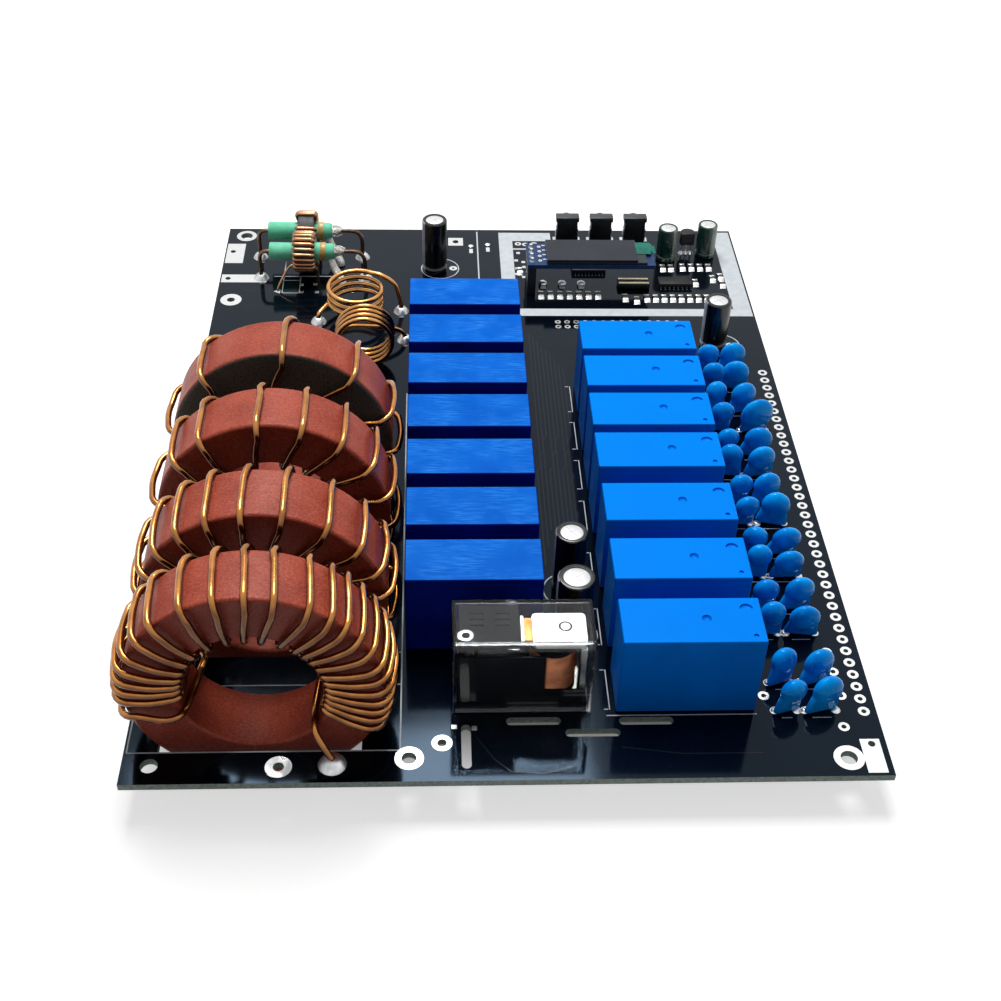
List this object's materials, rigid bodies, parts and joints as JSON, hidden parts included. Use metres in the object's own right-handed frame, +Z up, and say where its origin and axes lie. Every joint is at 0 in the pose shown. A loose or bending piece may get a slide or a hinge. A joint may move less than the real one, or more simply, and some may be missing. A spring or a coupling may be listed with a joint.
{
  "type": "automatic antenna tuner board",
  "caption": "Open circuit board antenna tuner with upright toroid inductors, columns of blue relays, a clear antenna relay, disc capacitors, a coaxial coupler and a small display.",
  "frame": {"origin": "centre of the four mounting holes on the underside of the board", "axes": "+X to the right and +Y to the back as seen in the picture, +Z up out of the component side"},
  "size_m": [0.1551, 0.213, 0.0529],
  "materials": {
    "solder_mask": "glossy black solder mask",
    "solder": "bright solder",
    "iron_powder": "satin red-brown coating on pressed iron powder",
    "enamelled_copper": "clear enamel over copper",
    "green_sleeve": "satin green sleeve",
    "tinned_braid": "tinned braid",
    "brown_lead": "dull brown enamel",
    "ferrite": "matt grey ferrite",
    "dark_blue_case": "rubbed satin blue",
    "bright_blue_case": "satin bright blue",
    "clear_case": "clear glossy",
    "relay_moulding": "matt black",
    "relay_copper": "wound copper",
    "relay_iron": "bright plated steel",
    "contact_alloy": "bright contact alloy",
    "black_can": "glossy black sleeve on aluminium",
    "green_can": "glossy dark green sleeve on aluminium",
    "blue_coat": "glossy blue coat",
    "blue_board": "glossy blue solder mask",
    "dark_glass": "dark glossy glass",
    "black_plastic": "matt black",
    "grey_plastic": "matt grey",
    "smd_ceramic": "matt ceramic with tinned ends"
  },
  "bodies": {
    "board_assembly": {"circuit_board": "solder_mask", "power_solder_joints": "solder", "signal_solder_joints": "solder", "toroid_core_1": "iron_powder", "toroid_core_2": "iron_powder", "toroid_core_3": "iron_powder", "toroid_core_4": "iron_powder", "toroid_winding_1": "enamelled_copper", "toroid_winding_2": "enamelled_copper", "toroid_winding_3": "enamelled_copper", "toroid_winding_4": "enamelled_copper", "air_coil_rear": "enamelled_copper", "air_coil_front": "enamelled_copper", "coupler_winding_rear": "enamelled_copper", "coupler_winding_front": "enamelled_copper", "coupler_sleeves": "green_sleeve", "coupler_braids": "tinned_braid", "coupler_conductors": "brown_lead", "coupler_cores": "ferrite", "inductor_relay_covers": "dark_blue_case", "capacitor_relay_covers": "bright_blue_case", "antenna_relay_cover": "clear_case", "relay_bases": "relay_moulding", "relay_bobbins": "relay_moulding", "relay_windings": "relay_copper", "relay_yokes": "relay_iron", "relay_terminals": "contact_alloy", "power_capacitor_cans": "black_can", "logic_capacitor_cans": "green_can", "disc_capacitors": "blue_coat", "display_board": "blue_board", "display_glass": "dark_glass", "display_header": "black_plastic", "switch_bodies": "black_plastic", "transistor": "black_plastic", "chips": "black_plastic", "smd_passives": "smd_ceramic"},
    "inductor_relay_armature_1": {"inductor_relay_armature_1": "relay_iron"},
    "inductor_relay_armature_2": {"inductor_relay_armature_2": "relay_iron"},
    "inductor_relay_armature_3": {"inductor_relay_armature_3": "relay_iron"},
    "inductor_relay_armature_4": {"inductor_relay_armature_4": "relay_iron"},
    "inductor_relay_armature_5": {"inductor_relay_armature_5": "relay_iron"},
    "inductor_relay_armature_6": {"inductor_relay_armature_6": "relay_iron"},
    "inductor_relay_armature_7": {"inductor_relay_armature_7": "relay_iron"},
    "capacitor_relay_armature_1": {"capacitor_relay_armature_1": "relay_iron"},
    "capacitor_relay_armature_2": {"capacitor_relay_armature_2": "relay_iron"},
    "capacitor_relay_armature_3": {"capacitor_relay_armature_3": "relay_iron"},
    "capacitor_relay_armature_4": {"capacitor_relay_armature_4": "relay_iron"},
    "capacitor_relay_armature_5": {"capacitor_relay_armature_5": "relay_iron"},
    "capacitor_relay_armature_6": {"capacitor_relay_armature_6": "relay_iron"},
    "capacitor_relay_armature_7": {"capacitor_relay_armature_7": "relay_iron"},
    "antenna_relay_armature": {"antenna_relay_armature": "relay_iron"},
    "switch_plunger_1": {"switch_plunger_1": "grey_plastic"},
    "switch_plunger_2": {"switch_plunger_2": "grey_plastic"},
    "switch_plunger_3": {"switch_plunger_3": "grey_plastic"}
  },
  "joints": [
    {"name": "inductor_relay_armature_1_swing", "type": "hinge", "parent": "board_assembly", "child": "inductor_relay_armature_1", "pos_m": [0.0074, -0.0647, 0.0186], "axis": [0, 1, 0], "range_deg": [-2.6, 0], "stiffness_Nm_per_rad": 0.02, "springref_deg": 0.69},
    {"name": "inductor_relay_armature_2_swing", "type": "hinge", "parent": "board_assembly", "child": "inductor_relay_armature_2", "pos_m": [0.0074, -0.0474, 0.0186], "axis": [0, 1, 0], "range_deg": [-2.6, 0], "stiffness_Nm_per_rad": 0.02, "springref_deg": 0.69},
    {"name": "inductor_relay_armature_3_swing", "type": "hinge", "parent": "board_assembly", "child": "inductor_relay_armature_3", "pos_m": [0.0074, -0.0301, 0.0186], "axis": [0, 1, 0], "range_deg": [-2.6, 0], "stiffness_Nm_per_rad": 0.02, "springref_deg": 0.69},
    {"name": "inductor_relay_armature_4_swing", "type": "hinge", "parent": "board_assembly", "child": "inductor_relay_armature_4", "pos_m": [0.0074, -0.0128, 0.0186], "axis": [0, 1, 0], "range_deg": [-2.6, 0], "stiffness_Nm_per_rad": 0.02, "springref_deg": 0.69},
    {"name": "inductor_relay_armature_5_swing", "type": "hinge", "parent": "board_assembly", "child": "inductor_relay_armature_5", "pos_m": [0.0074, 0.0045, 0.0186], "axis": [0, 1, 0], "range_deg": [-2.6, 0], "stiffness_Nm_per_rad": 0.02, "springref_deg": 0.69},
    {"name": "inductor_relay_armature_6_swing", "type": "hinge", "parent": "board_assembly", "child": "inductor_relay_armature_6", "pos_m": [0.0074, 0.0218, 0.0186], "axis": [0, 1, 0], "range_deg": [-2.6, 0], "stiffness_Nm_per_rad": 0.02, "springref_deg": 0.69},
    {"name": "inductor_relay_armature_7_swing", "type": "hinge", "parent": "board_assembly", "child": "inductor_relay_armature_7", "pos_m": [0.0074, 0.0391, 0.0186], "axis": [0, 1, 0], "range_deg": [-2.6, 0], "stiffness_Nm_per_rad": 0.02, "springref_deg": 0.69},
    {"name": "capacitor_relay_armature_1_swing", "type": "hinge", "parent": "board_assembly", "child": "capacitor_relay_armature_1", "pos_m": [0.051, -0.083, 0.0186], "axis": [0, 1, 0], "range_deg": [-2.6, 0], "stiffness_Nm_per_rad": 0.02, "springref_deg": 0.69},
    {"name": "capacitor_relay_armature_2_swing", "type": "hinge", "parent": "board_assembly", "child": "capacitor_relay_armature_2", "pos_m": [0.051, -0.0646, 0.0186], "axis": [0, 1, 0], "range_deg": [-2.6, 0], "stiffness_Nm_per_rad": 0.02, "springref_deg": 0.69},
    {"name": "capacitor_relay_armature_3_swing", "type": "hinge", "parent": "board_assembly", "child": "capacitor_relay_armature_3", "pos_m": [0.051, -0.0462, 0.0186], "axis": [0, 1, 0], "range_deg": [-2.6, 0], "stiffness_Nm_per_rad": 0.02, "springref_deg": 0.69},
    {"name": "capacitor_relay_armature_4_swing", "type": "hinge", "parent": "board_assembly", "child": "capacitor_relay_armature_4", "pos_m": [0.051, -0.0278, 0.0186], "axis": [0, 1, 0], "range_deg": [-2.6, 0], "stiffness_Nm_per_rad": 0.02, "springref_deg": 0.69},
    {"name": "capacitor_relay_armature_5_swing", "type": "hinge", "parent": "board_assembly", "child": "capacitor_relay_armature_5", "pos_m": [0.051, -0.0122, 0.0186], "axis": [0, 1, 0], "range_deg": [-2.6, 0], "stiffness_Nm_per_rad": 0.02, "springref_deg": 0.69},
    {"name": "capacitor_relay_armature_6_swing", "type": "hinge", "parent": "board_assembly", "child": "capacitor_relay_armature_6", "pos_m": [0.051, 0.0034, 0.0186], "axis": [0, 1, 0], "range_deg": [-2.6, 0], "stiffness_Nm_per_rad": 0.02, "springref_deg": 0.69},
    {"name": "capacitor_relay_armature_7_swing", "type": "hinge", "parent": "board_assembly", "child": "capacitor_relay_armature_7", "pos_m": [0.051, 0.019, 0.0186], "axis": [0, 1, 0], "range_deg": [-2.6, 0], "stiffness_Nm_per_rad": 0.02, "springref_deg": 0.69},
    {"name": "antenna_relay_armature_swing", "type": "hinge", "parent": "board_assembly", "child": "antenna_relay_armature", "pos_m": [0.0169, -0.0829, 0.0186], "axis": [0, 1, 0], "range_deg": [-2.6, 0], "stiffness_Nm_per_rad": 0.02, "springref_deg": 0.69},
    {"name": "switch_plunger_1_press", "type": "slide", "parent": "board_assembly", "child": "switch_plunger_1", "axis": [0, -1, 0], "range_m": [0, 0.00025], "stiffness_N_per_m": 6400},
    {"name": "switch_plunger_2_press", "type": "slide", "parent": "board_assembly", "child": "switch_plunger_2", "axis": [0, -1, 0], "range_m": [0, 0.00025], "stiffness_N_per_m": 6400},
    {"name": "switch_plunger_3_press", "type": "slide", "parent": "board_assembly", "child": "switch_plunger_3", "axis": [0, -1, 0], "range_m": [0, 0.00025], "stiffness_N_per_m": 6400}
  ]
}
